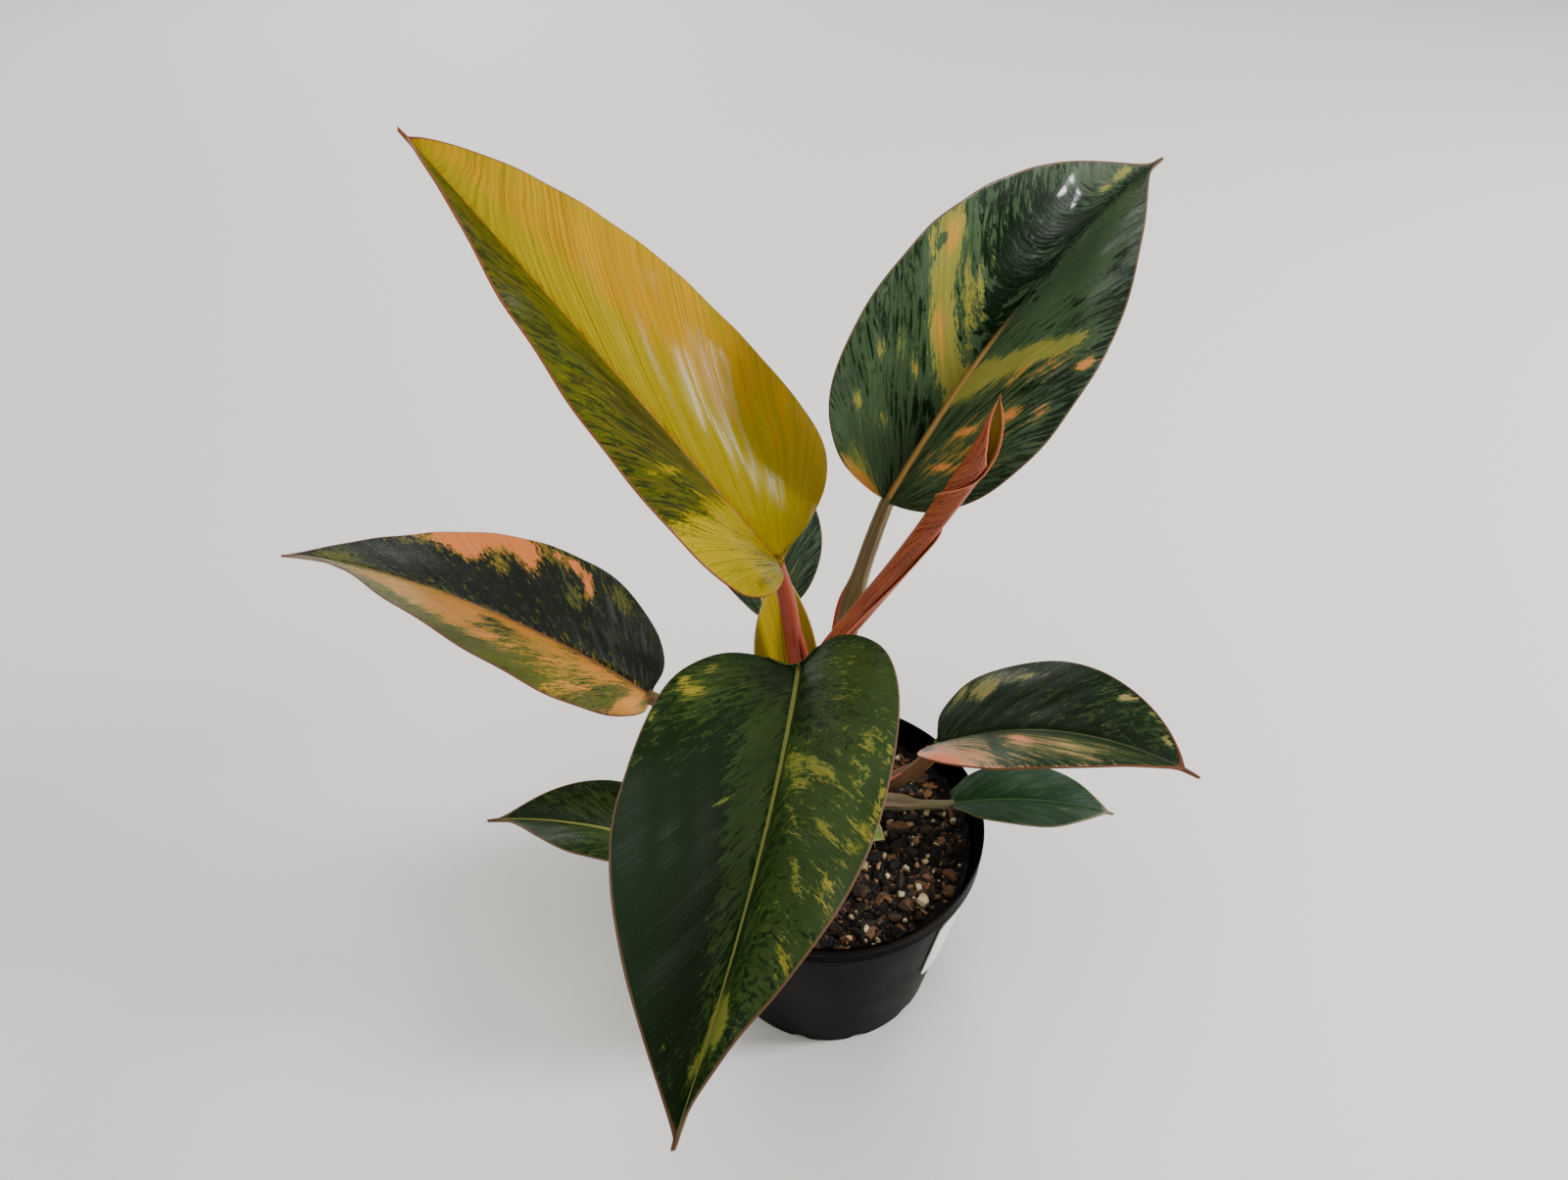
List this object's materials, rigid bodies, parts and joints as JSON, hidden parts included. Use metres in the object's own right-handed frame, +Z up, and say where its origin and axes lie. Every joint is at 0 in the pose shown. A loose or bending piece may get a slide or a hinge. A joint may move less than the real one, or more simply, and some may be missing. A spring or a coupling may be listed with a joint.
{
  "type": "potted philodendron",
  "caption": "Potted variegated philodendron with broad pointed leaves on stalks round a short stem, a rolled new leaf, and soil in a tapered plastic nursery pot.",
  "frame": {"origin": "middle of the pot's base, on the surface it stands on", "axes": "+Z up, -Y towards the viewer of the picture, +X to the right"},
  "size_m": [0.3051, 0.2725, 0.2838],
  "materials": {
    "pot": "satin black moulded plastic",
    "label": "plain white sticker",
    "soil": "moist bark mix with perlite",
    "stem": "green stem with brown scars",
    "blade_yellow": "waxy half yellow leaf",
    "blade_green": "waxy dark green leaf with cream and orange marks",
    "petiole": "red brown to olive stalk",
    "new_leaf": "red rolled young leaf",
    "bract": "yellow green bract and sprout"
  },
  "bodies": {
    "root": {"pot": "pot", "pot_label": "label", "soil": "soil", "main_stem": "stem", "blade_upper_left": "blade_yellow", "blade_upper_right": "blade_green", "blade_front": "blade_green", "blade_left": "blade_green", "blade_right": "blade_green", "blade_right_small": "blade_green", "blade_left_small": "blade_green", "blade_back": "blade_green", "petiole_upper_left": "petiole", "petiole_upper_right": "petiole", "petiole_front": "petiole", "petiole_left": "petiole", "petiole_right": "petiole", "petiole_right_small": "petiole", "petiole_left_small": "petiole", "petiole_back": "petiole", "new_leaf_roll": "new_leaf", "cataphyll": "bract", "sprout_leaf": "bract"}
  },
  "joints": []
}
